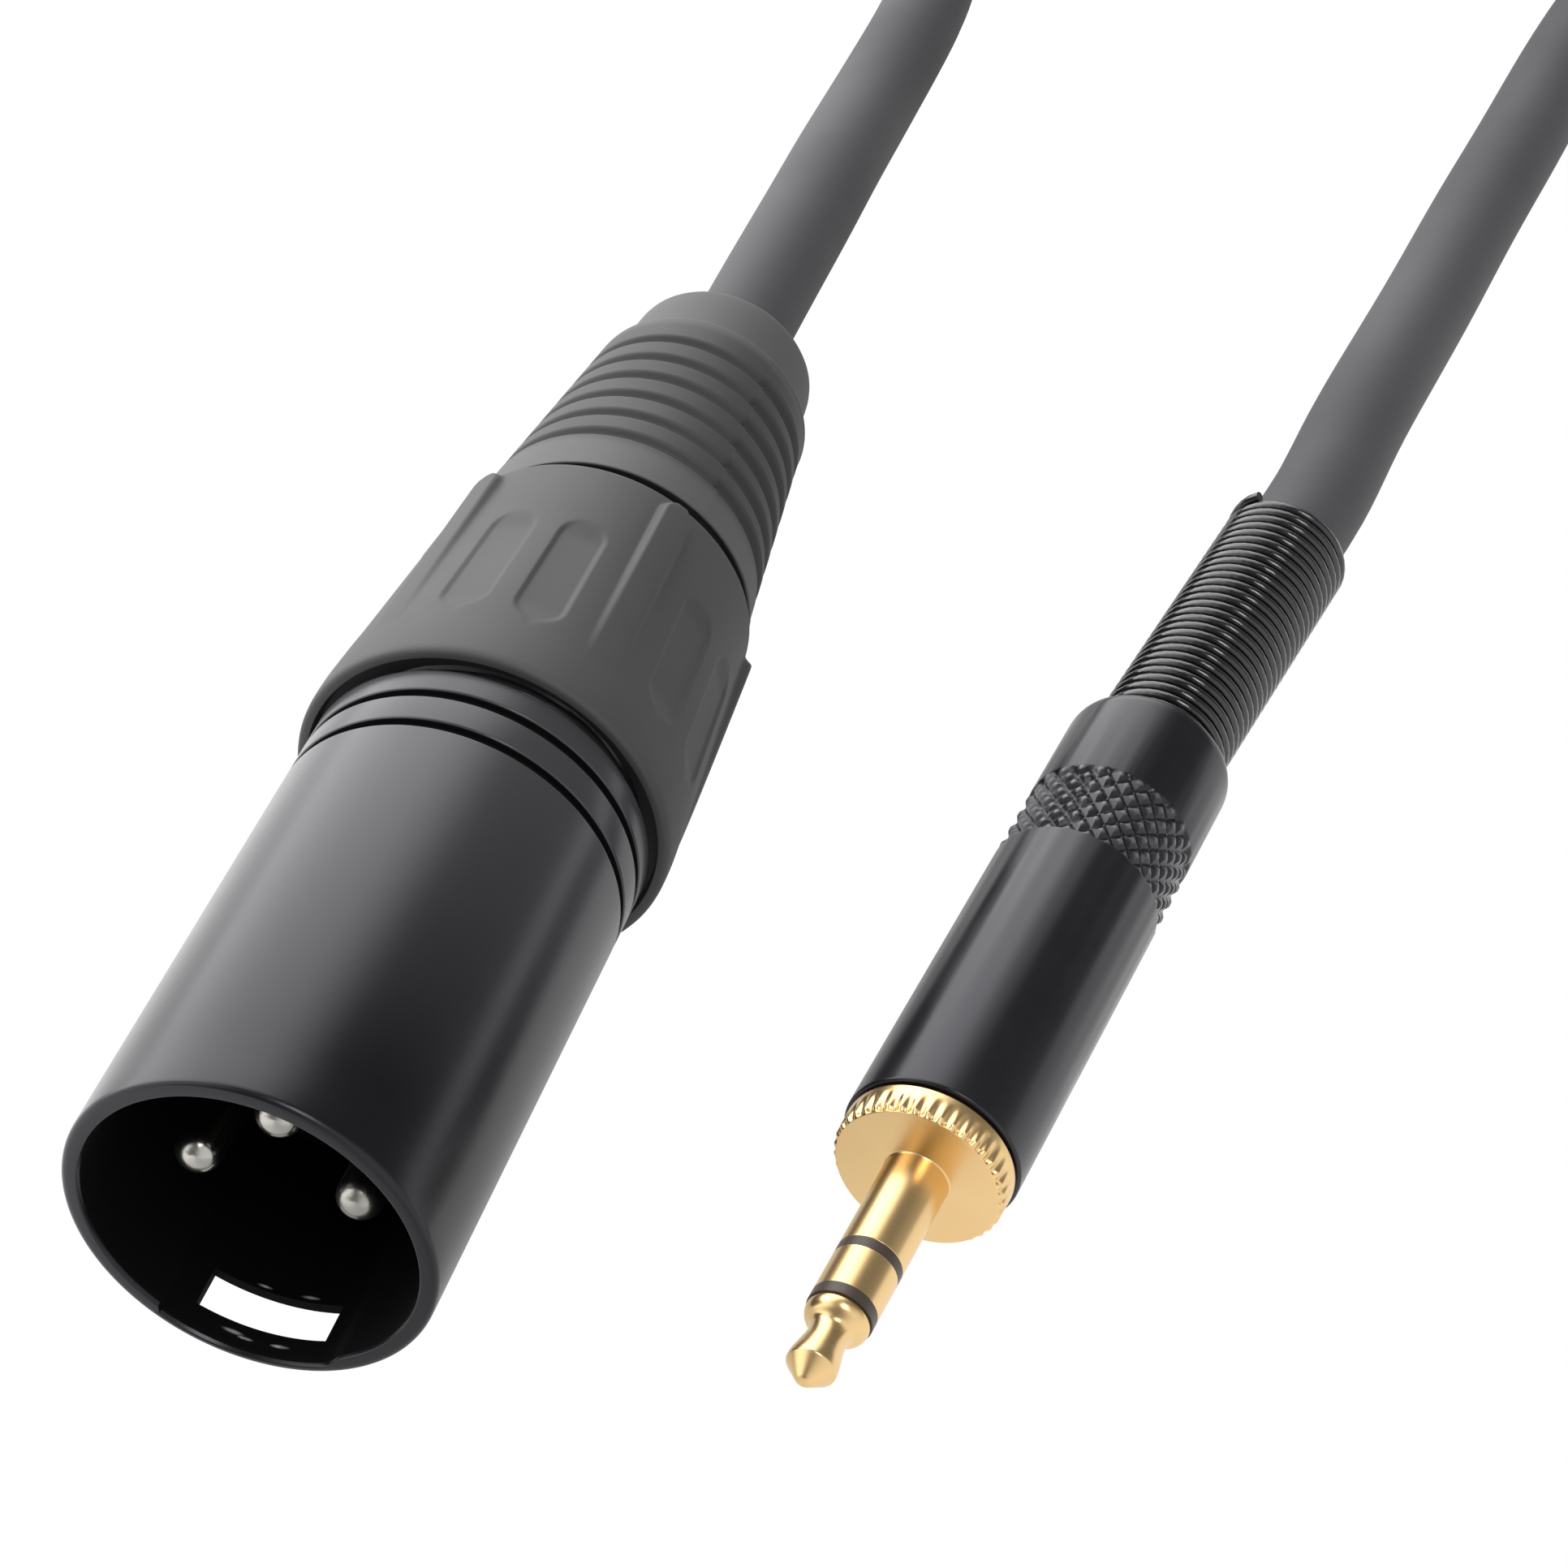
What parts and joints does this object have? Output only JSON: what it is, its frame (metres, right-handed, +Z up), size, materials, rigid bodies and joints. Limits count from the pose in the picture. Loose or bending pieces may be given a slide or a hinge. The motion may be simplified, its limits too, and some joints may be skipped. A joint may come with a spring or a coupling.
{
  "type": "xlr cable coil",
  "caption": "Audio lead with a male locking plug at one end and a stereo jack plug at the other; its spare cable is coiled and tied behind them.",
  "frame": {"origin": "bottom centre of the locking plug, on the surface that the lead lies on", "axes": "-Y is the way both plugs point and leave their sockets' cables behind, +Z up; the locking plug's axis runs along Y and the jack lies at its +X side"},
  "size_m": [0.086, 0.2389, 0.021],
  "materials": {
    "black_shell": "satin black coating on die-cast zinc",
    "insert_plastic": "black glass-filled plastic",
    "silver_contact": "bright silver plate on brass",
    "tinned_bronze": "tinned spring bronze",
    "chuck_plastic": "natural white plastic",
    "nut_plastic": "dark grey plastic with soft raised ribs",
    "boot_rubber": "dark grey flexible boot",
    "bare_copper": "bare twisted copper screen",
    "red_insulation": "red conductor insulation",
    "white_insulation": "white conductor insulation",
    "cable_jacket": "matt dark grey cable jacket",
    "gold_plate": "polished gold plate on brass",
    "band_plastic": "dark brown-black insulating plastic",
    "washer_plastic": "brown laminated washers",
    "black_barrel": "satin black coating on a turned brass barrel",
    "liner_plastic": "translucent white liner",
    "black_spring": "glossy black coated spring wire",
    "tie_fabric": "black woven hook-and-loop tape"
  },
  "bodies": {
    "lead": {"xlr_shell": "black_shell", "xlr_insert": "insert_plastic", "xlr_pin_1": "silver_contact", "xlr_pin_2": "silver_contact", "xlr_pin_3": "silver_contact", "xlr_ground_contact": "tinned_bronze", "xlr_chuck": "chuck_plastic", "xlr_wire_shield": "bare_copper", "xlr_wire_hot": "red_insulation", "xlr_wire_cold": "white_insulation", "xlr_jacket_end": "cable_jacket", "jack_tip": "gold_plate", "jack_front_insulator": "band_plastic", "jack_ring": "gold_plate", "jack_rear_insulator": "band_plastic", "jack_sleeve": "gold_plate", "jack_lug_washers": "washer_plastic", "jack_ring_lug": "tinned_bronze", "jack_tip_lug": "tinned_bronze", "jack_wire_shield": "bare_copper", "jack_wire_hot": "red_insulation", "jack_wire_cold": "white_insulation", "jack_jacket_end": "cable_jacket", "cord_xlr_run": "cable_jacket", "cord_coil": "cable_jacket", "cord_jack_run": "cable_jacket", "coil_tie": "tie_fabric"},
    "boot": {"xlr_boot": "boot_rubber"},
    "nut": {"xlr_back_nut": "nut_plastic"},
    "spring": {"jack_spring": "black_spring", "jack_liner": "liner_plastic"},
    "barrel": {"jack_barrel": "black_barrel"}
  },
  "joints": [
    {"name": "boot_slide", "type": "slide", "parent": "lead", "child": "boot", "axis": [0, 1, 0], "range_m": [0, 0.008]},
    {"name": "nut_turn", "type": "hinge", "parent": "boot", "child": "nut", "pos_m": [0, 0.0045, 0.0105], "axis": [0, 1, 0], "range_deg": [0, 2880]},
    {"name": "spring_slide", "type": "slide", "parent": "lead", "child": "spring", "axis": [0.1097, 0.994, 0], "range_m": [0, 0.0042]},
    {"name": "barrel_turn", "type": "hinge", "parent": "spring", "child": "barrel", "pos_m": [0.03002, -0.0009, 0.00485], "axis": [0.1097, 0.994, 0], "range_deg": [0, 2160]}
  ],
  "couplings": [
    {"joint": "boot_slide", "follows": "nut_turn", "m_per_rad": 0.00015915},
    {"joint": "spring_slide", "follows": "barrel_turn", "m_per_rad": 0.0001114}
  ]
}
